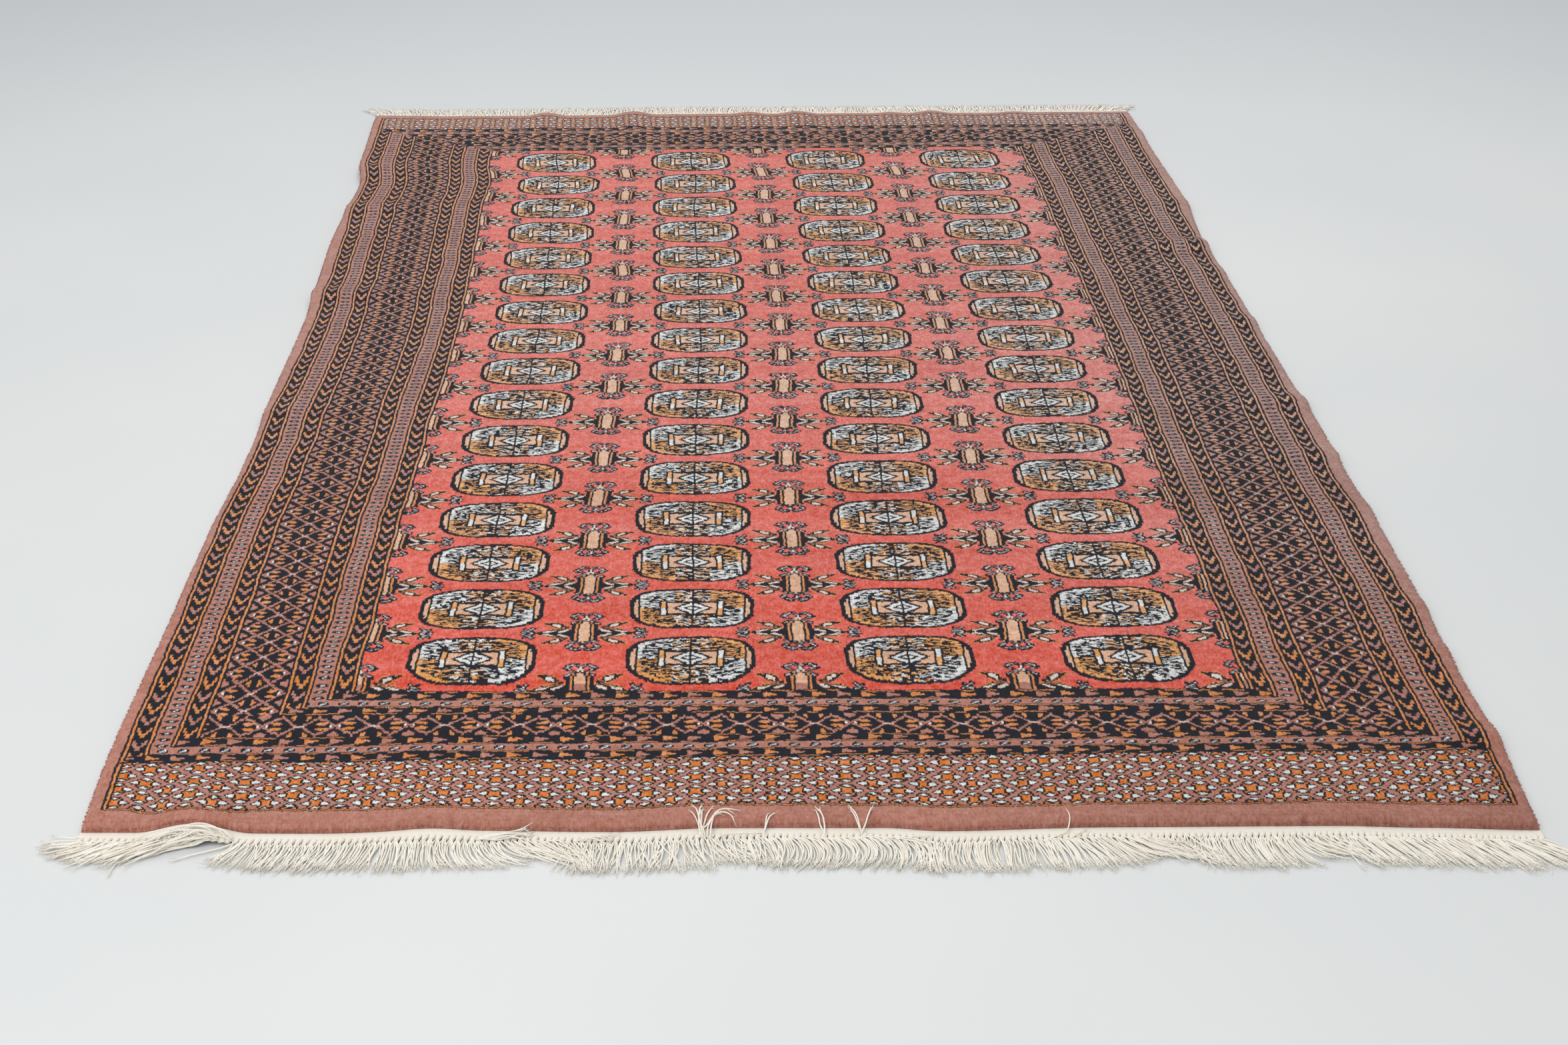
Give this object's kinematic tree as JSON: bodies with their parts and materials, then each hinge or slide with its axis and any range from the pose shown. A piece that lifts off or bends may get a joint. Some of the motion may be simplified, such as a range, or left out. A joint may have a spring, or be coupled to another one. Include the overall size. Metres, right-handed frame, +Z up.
{
  "type": "pakistani rug",
  "caption": "Rectangular hand-knotted wool rug with an all-over gul pattern and several borders, lying flat, with a knotted cotton fringe at each end.",
  "frame": {"origin": "on the floor, under the middle of the rug's whole box with its fringes", "axes": "+X across the rug to the right, +Y along it from the near end to the far end, +Z up out of the pile"},
  "size_m": [1.2896, 2.1138, 0.0185],
  "materials": {
    "wool_pile": "matte",
    "cotton_warp": "matte"
  },
  "bodies": {
    "root": {"rug": "wool_pile", "fringe_near": "cotton_warp", "fringe_far": "cotton_warp"}
  },
  "joints": []
}
